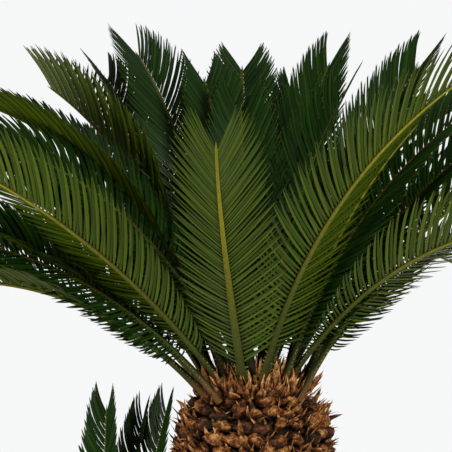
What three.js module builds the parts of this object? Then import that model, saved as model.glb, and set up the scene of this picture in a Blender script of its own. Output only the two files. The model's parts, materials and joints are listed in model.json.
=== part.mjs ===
// A sago palm: a stout trunk armoured with old leaf bases, a crown of feather fronds standing on the
// flat disc at its top, and one small offset beside its foot with a rosette of its own.
// Millimetres and degrees, +Z up, with the origin in the middle of the trunk's flat cut at the ground.
// An azimuth is counted from +X towards +Y, so the front of the plant is at 270.
import * as THREE from "three";

const clearance = 0.3;
const degree = Math.PI / 180;

const trunk = {
  name: "trunk",
  at: [0, 0],
  lean: [0, 0],
  height: 450,
  radius: 127,
  flare: 28,
  shoulder: 17,
  columns: 22,
  rows: 21,
  knob: 13,
  spike: 33,
  spikedFrom: 0.8,
};

const offsetTrunk = {
  name: "offset_trunk",
  at: [-230, 92],
  lean: [-33, 15],
  height: 110,
  radius: 42,
  flare: 6,
  shoulder: 6,
  columns: 11,
  rows: 7,
  knob: 7,
  spike: 14,
  spikedFrom: 0.6,
};

const frondKind = {
  base: trunk,
  width: 18,
  tipWidth: 4.5,
  flatness: 0.7,
  bare: 0.12,
  bareSteps: 3,
  pairs: 17,
  leaflet: 137,
};

const offsetFrondKind = {
  base: offsetTrunk,
  width: 9,
  tipWidth: 3,
  flatness: 0.7,
  bare: 0.2,
  bareSteps: 2,
  pairs: 10,
  leaflet: 85,
  open: 58,
  even: 33,
  close: 20,
};

// ring and seat say where the stalk stands on the disc. heading is the way it first points and sway
// how far that turns by the tip. rise is its first slope and droop how far the slope falls by the tip.
const placedFields = ["name", "ring", "seat", "heading", "sway", "rise", "droop", "length"];
const placedFronds = [
  ["frond_front", 76, 258, 255, 14, 59.5, 27, 555],
  ["frond_front_right", 68, 276, 312, 30, 69.5, 40, 725],
  ["frond_front_left", 68, 230, 209.5, -10, 50.3, 32, 765],
  ["frond_left_lowest", 98, 207, 200, 3, 45, 74, 710],
  ["frond_left_low", 74, 187, 190, 0, 47, 46, 750],
  ["frond_right_low", 58, 330, 344, 1, 57, 80, 762],
  ["frond_right_lowest", 76, 14, 7, 0, 55, 76, 735],
  ["frond_right_middle", 54, 34, 20, -2, 61, 50, 768],
  ["frond_right_upper", 49, 65, 36, 3, 63, 14, 725],
  ["frond_right_top", 22, 67, 67, -3, 69, 22, 728],
  ["frond_top", 46, 96, 94, -4, 74.5, 31, 718],
  ["frond_left_top", 43, 130, 121, 0, 73, 33, 770],
  ["frond_left_upper", 55, 152, 141, 0, 68.5, 39, 745],
  ["frond_left_back", 46, 176, 167, 2, 71, 51, 710],
  ["frond_left_middle", 76, 168, 176, 3, 60, 54, 715],
  ["frond_left_rear", 74, 127, 129, 0, 68, 27, 725],
  ["frond_rear", 74, 108, 101, 0, 67, 34, 700],
  ["frond_right_third", 85, 350, 5, 0, 68, 48, 740],
  ["frond_rear_right", 78, 43, 60, 0, 60, 49, 745],
  ["frond_rear_second", 68, 77, 84, 0, 61, 52, 745],
  ["frond_rear_tall", 79, 62, 77, 0, 77, 29, 620],
  ["frond_rear_left", 83, 145, 128, -2, 62, 46, 740],
  ["frond_left_second", 24, 195, 181, 0, 67, 60, 740],
  ["frond_left_third", 102, 229, 183, 0, 49, 63, 735],
  ["frond_left_fourth", 54, 202, 159, 0, 58, 41, 745],
  ["frond_left_fifth", 41, 227, 173, 0, 62, 51, 725],
  ["frond_right_fourth", 75, 308, 15, -6, 71, 45, 720],
  ["frond_right_lower", 98, 328, 16, 0, 59, 49, 745],
  ["frond_right_second", 31, 300, 31, 0, 69, 48, 745],
  ["frond_rear_third", 43, 269, 105, 0, 72, 30, 690],
  ["frond_inner_right", 19, 359, 34, 2, 82, 25, 560],
  ["frond_inner_rear", 21, 130, 92, 0, 82, 24, 540],
  ["frond_inner_front", 56, 356, 350, 0, 76, 28, 520],
];
const offsetFronds = [
  ["offset_frond_left", 18, 173, 63, 0, 88, 2, 285],
  ["offset_frond_back", 19, 100, 40, 0, 73, -2, 270],
  ["offset_frond_right", 27, 359, 26, 0, 72, -4, 292],
];

// open, even and close are a leaflet's angles to the rib at the foot, middle and end of its row. hang
// and raise are how far it stands up at the foot and further out. roll lifts the left row, as seen
// from the base, and skew opens it. short is how much of its length the lowest leaflet lacks.
const usualHabit = { open: 74, even: 45, close: 24, hang: 4, raise: 30, roll: 0, skew: 0, short: 0.78 };
const habits = {
  frond_right_middle: { open: 64, even: 40, raise: 26 },
  frond_front_right: { open: 68, close: 21, raise: 20, roll: -12, short: 0.56, leaflet: 145 },
  frond_right_top: { open: 76, even: 38, close: 15, raise: 32, roll: 20, leaflet: 150 },
  frond_right_upper: { open: 70, even: 41, close: 20, raise: 38, roll: 34, leaflet: 148 },
  frond_top: { even: 47, close: 28, raise: 20 },
  frond_right_low: { hang: -14, raise: 26, roll: -36, short: 0.84 },
  frond_left_low: { hang: -14, raise: 20, roll: -20 },
  frond_left_lowest: { hang: -24, raise: 22, roll: -8 },
  frond_left_second: { hang: -8, raise: 14, roll: -34 },
  frond_left_third: { hang: -8, raise: 14, roll: -34 },
  frond_left_fourth: { hang: -4, raise: 20, roll: -24 },
  frond_left_fifth: { hang: -8, raise: 14, roll: -36 },
  frond_left_middle: { raise: 24, roll: -20 },
  frond_right_third: { raise: 22, roll: 26 },
  frond_right_fourth: { raise: 22, roll: 26 },
  frond_front: { open: 66, even: 72, close: 27, hang: 20, raise: 42, roll: 5, short: 0.5, leaflet: 122 },
  frond_front_left: { open: 58, even: 50, close: 24, hang: 22, raise: 33, roll: 42, skew: -13, leaflet: 131 },
  frond_left_upper: { open: 54, even: 53, close: 33, raise: 50, roll: 16, leaflet: 157 },
  frond_left_top: { even: 44, close: 18, raise: 22, roll: -14, leaflet: 160 },
  frond_right_lowest: { open: 66, hang: -34, raise: 20, short: 0.9, leaflet: 108 },
  offset_frond_right: { roll: 25 },
};

// Whorls: the oldest fronds of the crown, which arch low round its far side, and those of the offset.
const whorlFields = ["name", "count", "first", "last", "ring", "rise", "droop", "length", "hang", "stream"];
const whorls = [["frond_outer", 8, 32, 176, 97, 46, 62, 735, -26, 5]];
const offsetWhorls = [["offset_frond_outer", 6, 75, 240, 31, 52, 74, 320, -10, 4]];

// An even spread of values from -1 to 1 that follows no visible order.
function spread(index, stream) {
  const value = index * 0.618034 + stream * 0.414214;
  return (value - Math.floor(value)) * 2 - 1;
}

function smooth(from, to, value) {
  const share = Math.min(1, Math.max(0, (value - from) / (to - from)));
  return share * share * (3 - 2 * share);
}

function named(fields, row) {
  return Object.fromEntries(fields.map((field, place) => [field, row[place]]));
}

const whorlSpread = { heading: 2.5, sway: 6, rise: 3, droop: 5, length: 0.025, roll: 10 };

function whorlFronds(row) {
  const whorl = named(whorlFields, row);
  const vary = (index, step) => spread(index, whorl.stream + step);
  return Array.from({ length: whorl.count }, (_, index) => {
    const share = index / (whorl.count - 1);
    const turn = (whorl.last - whorl.first) * share + whorlSpread.heading * vary(index, 0);
    return {
      name: `${whorl.name}_${index + 1}`,
      ring: whorl.ring,
      seat: whorl.first + turn,
      heading: whorl.first + turn,
      sway: whorlSpread.sway * vary(index, 1),
      rise: whorl.rise + whorlSpread.rise * vary(index, 2),
      droop: whorl.droop + whorlSpread.droop * vary(index, 3),
      length: whorl.length * (1 + whorlSpread.length * vary(index, 4)),
      hang: whorl.hang,
      roll: whorlSpread.roll * vary(index, 5),
    };
  });
}

function frondList(placed, rings, kind) {
  const fronds = [...placed.map((row) => named(placedFields, row)), ...rings.flatMap(whorlFronds)];
  return fronds.map((frond) => ({ ...usualHabit, ...kind, ...frond, ...habits[frond.name] }));
}

// A closed surface, built a point and a face at a time.
class Surface {
  constructor() {
    this.points = [];
    this.faces = [];
  }

  point(place) {
    this.points.push(place.x, place.y, place.z);
    return this.points.length / 3 - 1;
  }

  face(a, b, c) {
    this.faces.push(a, b, c);
  }

  quad(a, b, c, d) {
    this.face(a, b, c);
    this.face(a, c, d);
  }

  mesh(name, material) {
    const geometry = new THREE.BufferGeometry();
    geometry.setAttribute("position", new THREE.Float32BufferAttribute(this.points, 3));
    geometry.setIndex(this.faces);
    geometry.computeVertexNormals();
    const mesh = new THREE.Mesh(geometry, material);
    mesh.name = name;
    return mesh;
  }
}

// Every rib length, leaflet and trunk spike is a small convex piece. Two are apart when some line
// shows a gap between them.
const pieces = [];

function convexPiece(owner, points, faces) {
  const normals = [];
  const edges = [];
  const seen = new Set();
  for (const face of faces) {
    const [a, b, c] = face.map((corner) => points[corner]);
    const normal = new THREE.Vector3().subVectors(b, a).cross(new THREE.Vector3().subVectors(c, a));
    if (normal.length() > 1e-6) normals.push(normal.normalize());
    for (let side = 0; side < 3; side++) {
      const ends = [face[side], face[(side + 1) % 3]].sort((p, q) => p - q);
      const key = ends.join();
      if (!seen.has(key)) edges.push(new THREE.Vector3().subVectors(points[ends[1]], points[ends[0]]));
      seen.add(key);
    }
  }
  const box = new THREE.Box3().setFromPoints(points).expandByScalar(clearance);
  return { owner, points, normals, edges, box };
}

function gapAlong(axis, a, b) {
  const reach = (points) => {
    const along = points.map((point) => axis.dot(point));
    return [Math.min(...along), Math.max(...along)];
  };
  const [lowA, highA] = reach(a.points);
  const [lowB, highB] = reach(b.points);
  return Math.max(lowB - highA, lowA - highB);
}

function areApart(a, b) {
  if (!a.box.intersectsBox(b.box)) return true;
  if ([...a.normals, ...b.normals].some((axis) => gapAlong(axis, a, b) > clearance)) return true;
  const axis = new THREE.Vector3();
  return a.edges.some((edgeA) =>
    b.edges.some((edgeB) => {
      axis.crossVectors(edgeA, edgeB);
      const size = axis.length();
      return size > 1e-6 && gapAlong(axis.divideScalar(size), a, b) > clearance;
    }),
  );
}

function hasRoom(piece) {
  return pieces.every((other) => other.owner === piece.owner || areApart(piece, other));
}

function trunkCentre(shape, height) {
  const share = height / shape.height;
  const [x, y] = [0, 1].map((axis) => shape.at[axis] + shape.lean[axis] * share);
  return new THREE.Vector3(x, y, height);
}

const flareFade = 0.12;
const shoulderFrom = 0.82;

// Widest at the root flare, almost straight, then drawn in at the shoulder.
function trunkRadius(shape, height) {
  const share = height / shape.height;
  const flared = shape.radius + shape.flare * Math.exp(-share / flareFade);
  return flared - shape.shoulder * smooth(shoulderFrom, 1, share);
}

function onTrunk(shape, azimuth, height, out) {
  const radius = trunkRadius(shape, height) + out;
  const around = new THREE.Vector3(Math.cos(azimuth), Math.sin(azimuth), 0);
  return trunkCentre(shape, height).addScaledVector(around, radius);
}

const spikeBlend = 0.1;
const knobSlope = 12;
const spikeSlope = 36;
const barkSpread = { out: 0.2, slope: 7, column: 0.12 };

// The bark is a lattice of staggered diamonds, one for each old leaf base. Each rises to a knob, and
// round the shoulder to a spike that points out and up.
function makeTrunk(shape, material) {
  const surface = new Surface();
  const step = (2 * Math.PI) / shape.columns;
  const rowHeight = shape.height / shape.rows;
  const corners = [];
  for (let row = 0; row <= shape.rows; row++) {
    const ring = [];
    for (let column = 0; column < shape.columns; column++) {
      const azimuth = (column + (row % 2) / 2) * step;
      ring.push(surface.point(onTrunk(shape, azimuth, row * rowHeight, 0)));
    }
    corners.push(ring);
  }
  const corner = (row, column) => corners[row][(column + shape.columns) % shape.columns];
  const place = (index) => new THREE.Vector3().fromArray(surface.points, index * 3);
  for (let row = 0; row <= shape.rows; row++) {
    const shift = row % 2;
    for (let column = 0; column < shape.columns; column++) {
      const left = corner(row, column);
      const right = corner(row, column + 1);
      const below = row > 0 ? corner(row - 1, column + shift) : undefined;
      const above = row < shape.rows ? corner(row + 1, column + shift) : undefined;
      if (below === undefined) {
        surface.face(left, right, above);
        continue;
      }
      if (above === undefined) {
        surface.face(left, below, right);
        continue;
      }
      const number = row * shape.columns + column;
      const share = row / shape.rows;
      const spiked = smooth(shape.spikedFrom - spikeBlend, shape.spikedFrom + spikeBlend, share);
      const length = shape.knob + (shape.spike - shape.knob) * spiked;
      const out = length * (1 + barkSpread.out * spread(number, 1));
      const steady = knobSlope + (spikeSlope - knobSlope) * spiked;
      const slope = (steady + barkSpread.slope * spread(number, 2)) * degree;
      const azimuth = (column + shift / 2 + 0.5 + barkSpread.column * spread(number, 3)) * step;
      const tip = onTrunk(shape, azimuth, row * rowHeight, out * Math.cos(slope));
      tip.z += out * Math.sin(slope);
      const peak = surface.point(tip);
      surface.face(left, below, peak);
      surface.face(below, right, peak);
      surface.face(right, above, peak);
      surface.face(above, left, peak);
      const hull = [left, below, right, above, peak].map(place);
      const sides = [[0, 1, 4], [1, 2, 4], [2, 3, 4], [3, 0, 4], [0, 2, 1], [0, 3, 2]];
      pieces.push(convexPiece(shape.name, hull, sides));
    }
  }
  const foot = surface.point(trunkCentre(shape, 0));
  const top = surface.point(trunkCentre(shape, shape.height));
  for (let column = 0; column < shape.columns; column++) {
    surface.face(foot, corner(0, column + 1), corner(0, column));
    surface.face(top, corner(shape.rows, column), corner(shape.rows, column + 1));
  }
  return surface.mesh(shape.name, material);
}

const fineSteps = 60;
const droopPower = 1.3;
const ribTaper = 1.4;

// The rib's course: a point every sixtieth of its length, walked out from the seat on the disc.
function ribCourse(frond) {
  const seat = frond.seat * degree;
  const start = trunkCentre(frond.base, frond.base.height + clearance);
  start.x += frond.ring * Math.cos(seat);
  start.y += frond.ring * Math.sin(seat);
  const course = [start];
  for (let step = 0; step < fineSteps; step++) {
    const { along } = ribFrame(frond, (step + 0.5) / fineSteps);
    course.push(course[step].clone().addScaledVector(along, frond.length / fineSteps));
  }
  return course;
}

// The directions at a share of the length: along the rib, level to its left, and out of its upper side.
function ribFrame(frond, share) {
  const slope = (frond.rise - frond.droop * share ** droopPower) * degree;
  const azimuth = (frond.heading + frond.sway * share) * degree;
  const along = new THREE.Vector3(
    Math.cos(slope) * Math.cos(azimuth),
    Math.cos(slope) * Math.sin(azimuth),
    Math.sin(slope),
  );
  const left = new THREE.Vector3(-Math.sin(azimuth), Math.cos(azimuth), 0);
  const up = new THREE.Vector3().crossVectors(along, left);
  return { along, left, up };
}

function courseAt(course, share) {
  const place = Math.min(share * fineSteps, fineSteps - 1e-9);
  const step = Math.floor(place);
  return course[step].clone().lerp(course[step + 1], place - step);
}

function ribWidth(frond, share) {
  return frond.tipWidth + (frond.width - frond.tipWidth) * (1 - share) ** ribTaper;
}

// The four corners of the rib's section, in the order upper left, lower left, lower right, upper right.
function ribSection(frond, course, share) {
  const { along, left, up } = ribFrame(frond, share);
  const centre = courseAt(course, share);
  const half = ribWidth(frond, share) / 2;
  const sides = [[1, 1], [1, -1], [-1, -1], [-1, 1]];
  return sides.map(([toLeft, toUp]) => {
    const point = centre.clone().addScaledVector(left, half * toLeft);
    point.addScaledVector(up, half * frond.flatness * toUp);
    if (share === 0) point.addScaledVector(along, (course[0].z - point.z) / along.z);
    return point;
  });
}

// Leaflets are shorter below the first share given and a little shorter beyond the second.
const leafletLengths = { lowBefore: 0.36, lowPower: 1.3, highAfter: 0.7, highCut: 0.28 };
const troughBy = 0.5;
const rollKept = 0.6;

// How a leaflet stands at a share of the leafy length: its length, its angle to the rib and how far
// it is raised towards the upper side.
function leafletRule(frond, share, side) {
  const { lowBefore, lowPower, highAfter, highCut } = leafletLengths;
  const lower = 1 - frond.short * Math.max(0, 1 - share / lowBefore) ** lowPower;
  const upper = 1 - highCut * Math.max(0, (share - highAfter) / (1 - highAfter)) ** 2;
  const rest = 1 - share;
  const curve = [rest * (1 - 2 * share), 4 * share * rest, share * (2 * share - 1)];
  const angle = frond.open * curve[0] + frond.even * curve[1] + frond.close * curve[2];
  const trough = frond.hang + (frond.raise - frond.hang) * smooth(0, troughBy, share);
  const rolled = frond.roll * (1 - (1 - rollKept) * smooth(0.4, 1, share));
  return {
    length: frond.leaflet * lower * upper,
    angle: angle + frond.skew * side * rest,
    raise: trough + rolled * side,
  };
}

// Leaflets that would touch another frond are turned a little, then shortened, and then left out.
const trialLengths = [1, 0.88, 0.75, 0.6, 0.45, 0.3];
const trialRaises = [0, 9, -9, 18, -18, 27];
const trialAngles = [0, -8, 8];
const trials = trialLengths.flatMap((length) =>
  trialRaises.flatMap((raise) => trialAngles.map((angle) => ({ length, raise, angle }))),
);

const leafletFaces = [[0, 1, 4], [1, 2, 4], [2, 3, 4], [3, 0, 4], [0, 2, 1], [0, 3, 2]];
const ribFaces = [
  [0, 1, 5], [0, 5, 4], [1, 2, 6], [1, 6, 5], [2, 3, 7], [2, 7, 6],
  [3, 0, 4], [3, 4, 7], [0, 2, 1], [0, 3, 2], [4, 5, 6], [4, 6, 7],
];

function leafletTip(frond, root, share, side, trial) {
  const { along, left, up } = ribFrame(frond, share);
  const rule = leafletRule(frond, leafShare(frond, share), side);
  const angle = (rule.angle + trial.angle) * degree;
  const raise = (rule.raise + trial.raise) * degree;
  const out = left.multiplyScalar(side * Math.cos(raise)).addScaledVector(up, Math.sin(raise));
  const course = along.multiplyScalar(Math.cos(angle)).addScaledVector(out, Math.sin(angle));
  return root.clone().addScaledVector(course, rule.length * trial.length);
}

// The share of the leafy length, which is negative on the bare stalk.
function leafShare(frond, share) {
  return (share - frond.bare) / (1 - frond.bare);
}

function frondStations(frond) {
  const shares = [];
  for (let step = 0; step < frond.bareSteps; step++) shares.push((frond.bare * step) / frond.bareSteps);
  for (let pair = 0; pair <= frond.pairs; pair++) {
    shares.push(frond.bare + ((1 - frond.bare) * pair) / frond.pairs);
  }
  return shares;
}

// The ribs of all the fronds are laid out first, so that a leaflet keeps clear of every one of them.
function layOut(frond) {
  const course = ribCourse(frond);
  const shares = frondStations(frond);
  const sections = shares.map((share) => ribSection(frond, course, share));
  const lengths = sections.slice(1).map((section, index) => {
    return convexPiece(frond.name, [...sections[index], ...section], ribFaces);
  });
  for (const length of lengths) {
    const hit = pieces.find((other) => other.owner !== frond.name && !areApart(length, other));
    if (hit) throw new Error(`${frond.name} touches ${hit.owner}`);
  }
  pieces.push(...lengths);
  return { frond, shares, sections };
}

function makeFrond({ frond, shares, sections }, material) {
  const surface = new Surface();
  const rings = sections.map((section) => section.map((point) => surface.point(point)));
  const [upperLeft, lowerLeft, lowerRight, upperRight] = rings[0];
  surface.quad(upperLeft, lowerLeft, lowerRight, upperRight);
  for (let index = 0; index < rings.length - 1; index++) {
    const near = rings[index];
    const far = rings[index + 1];
    surface.quad(near[2], near[1], far[1], far[2]);
    surface.quad(near[0], near[3], far[3], far[0]);
    const share = (shares[index] + shares[index + 1]) / 2;
    for (const [side, first, second] of [[1, 1, 0], [-1, 3, 2]]) {
      const corners = [near[first], near[second], far[second], far[first]];
      const points = corners.map((corner) => new THREE.Vector3().fromArray(surface.points, corner * 3));
      const tip = share > frond.bare ? growLeaflet(frond, points, share, side) : undefined;
      if (tip === undefined) {
        surface.quad(...corners);
        continue;
      }
      const peak = surface.point(tip);
      corners.forEach((corner, place) => surface.face(corner, corners[(place + 1) % 4], peak));
    }
  }
  const end = rings.at(-1);
  const peak = surface.point(endTip(frond, sections.at(-1)));
  end.forEach((corner, place) => surface.face(end[(place + 1) % 4], corner, peak));
  return surface.mesh(frond.name, material);
}

function growLeaflet(frond, corners, share, side) {
  const root = corners.reduce((sum, corner) => sum.add(corner), new THREE.Vector3()).divideScalar(4);
  for (const trial of trials) {
    const tip = leafletTip(frond, root, share, side, trial);
    const piece = convexPiece(frond.name, [...corners, tip], leafletFaces);
    if (hasRoom(piece)) {
      pieces.push(piece);
      return tip;
    }
  }
  return undefined;
}

// The rib runs out in a short point between the last two leaflets.
const endLength = 4;

function endTip(frond, section) {
  const centre = section.reduce((sum, corner) => sum.add(corner), new THREE.Vector3()).divideScalar(4);
  return centre.addScaledVector(ribFrame(frond, 1).along, frond.tipWidth * endLength);
}

const barkBrown = new THREE.MeshStandardMaterial({ color: 0x6b4526, roughness: 0.9, metalness: 0 });
const frondGreen = new THREE.MeshStandardMaterial({ color: 0x2f4d1c, roughness: 0.5, metalness: 0 });

const palm = new THREE.Group();
palm.add(makeTrunk(trunk, barkBrown), makeTrunk(offsetTrunk, barkBrown));

const laidOut = [
  ...frondList(placedFronds, whorls, frondKind),
  ...frondList(offsetFronds, offsetWhorls, offsetFrondKind),
].map(layOut);
for (const entry of laidOut) palm.add(makeFrond(entry, frondGreen));

export default palm;
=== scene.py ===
import json
import math

import bpy
import numpy as np
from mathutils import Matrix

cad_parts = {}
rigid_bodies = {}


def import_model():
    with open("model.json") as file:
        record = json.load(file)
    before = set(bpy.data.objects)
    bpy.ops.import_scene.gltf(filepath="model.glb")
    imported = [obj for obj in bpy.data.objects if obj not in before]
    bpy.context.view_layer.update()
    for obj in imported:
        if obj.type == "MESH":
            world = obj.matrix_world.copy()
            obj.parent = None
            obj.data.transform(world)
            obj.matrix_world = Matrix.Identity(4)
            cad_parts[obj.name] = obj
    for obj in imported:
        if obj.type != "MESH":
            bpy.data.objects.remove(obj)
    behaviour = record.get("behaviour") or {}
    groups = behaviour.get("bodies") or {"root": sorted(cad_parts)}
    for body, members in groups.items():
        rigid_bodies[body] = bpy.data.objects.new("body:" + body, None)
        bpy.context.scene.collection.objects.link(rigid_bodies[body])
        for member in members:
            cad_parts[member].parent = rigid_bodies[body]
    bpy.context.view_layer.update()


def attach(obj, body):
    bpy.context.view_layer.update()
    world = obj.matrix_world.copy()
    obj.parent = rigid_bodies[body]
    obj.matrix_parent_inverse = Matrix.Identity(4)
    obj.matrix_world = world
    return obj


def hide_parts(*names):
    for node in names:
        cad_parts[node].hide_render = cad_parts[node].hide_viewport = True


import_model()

# Metres and degrees, +Z up. An azimuth is counted from +X towards +Y, so the front of the plant is at 270.

trunk = {
    "at": (0.0, 0.0),
    "lean": (0.0, 0.0),
    "height": 0.45,
    "radius": 0.127,
    "flare": 0.028,
    "shoulder": 0.017,
    "columns": 22,
    "rows": 21,
}

offsetTrunk = {
    "at": (-0.230, 0.092),
    "lean": (-0.033, 0.015),
    "height": 0.11,
    "radius": 0.042,
    "flare": 0.006,
    "shoulder": 0.006,
    "columns": 11,
    "rows": 7,
}

crownKind = {
    "base": trunk,
    "width": 0.018,
    "tipWidth": 0.0045,
    "flatness": 0.7,
    "bare": 0.12,
    "leaflet": 0.137,
    "spacing": 0.0066,  # between the leaflets of one row, on average
    "blade": 0.0072,  # a leaflet's full width near the foot
}

offsetKind = {
    "base": offsetTrunk,
    "width": 0.009,
    "tipWidth": 0.003,
    "flatness": 0.7,
    "bare": 0.2,
    "leaflet": 0.085,
    "spacing": 0.0054,
    "blade": 0.0068,
    "open": 58,
    "even": 33,
    "close": 20,
}

# ring and seat say where the stalk stands on the disc. heading is the way it first points and sway how
# far that turns by the tip. rise is its first slope and droop how far the slope falls by the tip.
frondFields = ("name", "ring", "seat", "heading", "sway", "rise", "droop", "length")
placedFronds = [
    ("frond_front", 0.076, 258, 255, 14, 59.5, 27, 0.555),
    ("frond_front_right", 0.068, 276, 312, 30, 69.5, 40, 0.725),
    ("frond_front_left", 0.068, 230, 209.5, -10, 50.3, 32, 0.765),
    ("frond_left_lowest", 0.098, 207, 200, 3, 45, 74, 0.710),
    ("frond_left_low", 0.074, 187, 190, 0, 47, 46, 0.750),
    ("frond_right_low", 0.058, 330, 344, 1, 57, 80, 0.762),
    ("frond_right_lowest", 0.076, 14, 7, 0, 55, 76, 0.735),
    ("frond_right_middle", 0.054, 34, 20, -2, 61, 50, 0.768),
    ("frond_right_upper", 0.049, 65, 36, 3, 63, 14, 0.725),
    ("frond_right_top", 0.022, 67, 67, -3, 69, 22, 0.728),
    ("frond_top", 0.046, 96, 94, -4, 74.5, 31, 0.718),
    ("frond_left_top", 0.043, 130, 121, 0, 73, 33, 0.770),
    ("frond_left_upper", 0.055, 152, 141, 0, 68.5, 39, 0.745),
    ("frond_left_back", 0.046, 176, 167, 2, 71, 51, 0.710),
    ("frond_left_middle", 0.076, 168, 176, 3, 60, 54, 0.715),
    ("frond_left_rear", 0.074, 127, 129, 0, 68, 27, 0.725),
    ("frond_rear", 0.074, 108, 101, 0, 67, 34, 0.700),
    ("frond_right_third", 0.085, 350, 5, 0, 68, 48, 0.740),
    ("frond_rear_right", 0.078, 43, 60, 0, 60, 49, 0.745),
    ("frond_rear_second", 0.068, 77, 84, 0, 61, 52, 0.745),
    ("frond_rear_tall", 0.079, 62, 77, 0, 77, 29, 0.620),
    ("frond_rear_left", 0.083, 145, 128, -2, 62, 46, 0.740),
    ("frond_left_second", 0.024, 195, 181, 0, 67, 60, 0.740),
    ("frond_left_third", 0.102, 229, 183, 0, 49, 63, 0.735),
    ("frond_left_fourth", 0.054, 202, 159, 0, 58, 41, 0.745),
    ("frond_left_fifth", 0.041, 227, 173, 0, 62, 51, 0.725),
    ("frond_right_fourth", 0.075, 308, 15, -6, 71, 45, 0.720),
    ("frond_right_lower", 0.098, 328, 16, 0, 59, 49, 0.745),
    ("frond_right_second", 0.031, 300, 31, 0, 69, 48, 0.745),
    ("frond_rear_third", 0.043, 269, 105, 0, 72, 30, 0.690),
    ("frond_inner_right", 0.019, 359, 34, 2, 82, 25, 0.560),
    ("frond_inner_rear", 0.021, 130, 92, 0, 82, 24, 0.540),
    ("frond_inner_front", 0.056, 356, 350, 0, 76, 28, 0.520),
]

offsetFronds = [
    ("offset_frond_left", 0.018, 173, 63, 0, 88, 2, 0.285),
    ("offset_frond_back", 0.019, 100, 40, 0, 73, -2, 0.270),
    ("offset_frond_right", 0.027, 359, 26, 0, 72, -4, 0.292),
]

# open, even and close are a leaflet's angles to the rib at the foot, middle and end of its row. hang and
# raise are how far it stands up at the foot and further out. roll lifts the left row, as seen from the
# base, and skew opens it. short is how much of its length the lowest leaflet lacks.
usualHabit = {
    "open": 74,
    "even": 45,
    "close": 24,
    "hang": 4,
    "raise": 30,
    "roll": 0,
    "skew": 0,
    "short": 0.78,
}
habits = {
    "frond_right_middle": {"open": 64, "even": 40, "raise": 26},
    "frond_front_right": {
        "open": 68, "close": 21, "raise": 20, "roll": -12, "short": 0.56, "leaflet": 0.145,
    },
    "frond_right_top": {"open": 76, "even": 38, "close": 15, "raise": 32, "roll": 20, "leaflet": 0.150},
    "frond_right_upper": {"open": 70, "even": 41, "close": 20, "raise": 38, "roll": 34, "leaflet": 0.148},
    "frond_top": {"even": 47, "close": 28, "raise": 20},
    "frond_right_low": {"hang": -14, "raise": 26, "roll": -36, "short": 0.84},
    "frond_left_low": {"hang": -14, "raise": 20, "roll": -20},
    "frond_left_lowest": {"hang": -24, "raise": 22, "roll": -8},
    "frond_left_second": {"hang": -8, "raise": 14, "roll": -34},
    "frond_left_third": {"hang": -8, "raise": 14, "roll": -34},
    "frond_left_fourth": {"hang": -4, "raise": 20, "roll": -24},
    "frond_left_fifth": {"hang": -8, "raise": 14, "roll": -36},
    "frond_left_middle": {"raise": 24, "roll": -20},
    "frond_right_third": {"raise": 22, "roll": 26},
    "frond_right_fourth": {"raise": 22, "roll": 26},
    "frond_front": {
        "open": 66, "even": 72, "close": 27, "hang": 20, "raise": 42,
        "roll": 5, "short": 0.5, "leaflet": 0.122,
    },
    "frond_front_left": {
        "open": 58, "even": 50, "close": 24, "hang": 22, "raise": 33,
        "roll": 42, "skew": -13, "leaflet": 0.131,
    },
    "frond_left_upper": {"open": 54, "even": 53, "close": 33, "raise": 50, "roll": 16, "leaflet": 0.157},
    "frond_left_top": {"even": 44, "close": 18, "raise": 22, "roll": -14, "leaflet": 0.160},
    "frond_right_lowest": {"open": 66, "hang": -34, "raise": 20, "short": 0.9, "leaflet": 0.108},
    "offset_frond_right": {"roll": 25},
}

# Fronds whose leaflets stand wider apart than usual, and how wide each one's blades are.
widerSpacing = 0.0070
ownBlades = {
    "frond_front": 0.0051,
    "frond_front_left": 0.0064,
    "frond_front_right": 0.0057,
    "frond_right_low": 0.0058,
    "frond_left_upper": 0.0074,
    "frond_left_top": 0.0062,
    "frond_right_lowest": 0.0054,
    "frond_left_low": 0.0090,
    "frond_left_lowest": 0.0080,
}
for name, blade in ownBlades.items():
    habits[name].update(spacing=widerSpacing, blade=blade)

# Whorls: the oldest fronds of the crown, which arch low round its far side, and those of the offset.
whorlFields = ("name", "count", "first", "last", "ring", "rise", "droop", "length", "hang", "stream")
whorls = [("frond_outer", 8, 32, 176, 0.097, 46, 62, 0.735, -26, 5)]
offsetWhorls = [("offset_frond_outer", 6, 75, 240, 0.031, 52, 74, 0.320, -10, 4)]
whorlSpread = {"heading": 2.5, "sway": 6, "rise": 3, "droop": 5, "length": 0.025, "roll": 10}

indexStep = 0.618034  # the golden section's share, so that neighbours never match
streamStep = 0.414214


def spread(index, stream):
    # an even spread of values from -1 to 1 that follows no visible order
    value = np.asarray(index, float) * indexStep + stream * streamStep
    return (value - np.floor(value)) * 2 - 1


def pick(index, stream, count):
    # a whole number below count for each index, by the same spread
    return np.floor((spread(index, stream) * 0.5 + 0.5) * (count - 0.001)).astype(int)


def smooth(low, high, value):
    share = np.clip((np.asarray(value, float) - low) / (high - low), 0, 1)
    return share * share * (3 - 2 * share)


def whorlFronds(whorl):
    fronds = []
    stream = whorl["stream"]
    for index in range(whorl["count"]):
        share = index / (whorl["count"] - 1)
        heading = whorl["first"] + (whorl["last"] - whorl["first"]) * share
        heading += whorlSpread["heading"] * spread(index, stream)
        fronds.append({
            "name": f"{whorl['name']}_{index + 1}",
            "ring": whorl["ring"],
            "seat": heading,
            "heading": heading,
            "sway": whorlSpread["sway"] * spread(index, stream + 1),
            "rise": whorl["rise"] + whorlSpread["rise"] * spread(index, stream + 2),
            "droop": whorl["droop"] + whorlSpread["droop"] * spread(index, stream + 3),
            "length": whorl["length"] * (1 + whorlSpread["length"] * spread(index, stream + 4)),
            "hang": whorl["hang"],
            "roll": whorlSpread["roll"] * spread(index, stream + 5),
        })
    return fronds


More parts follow.
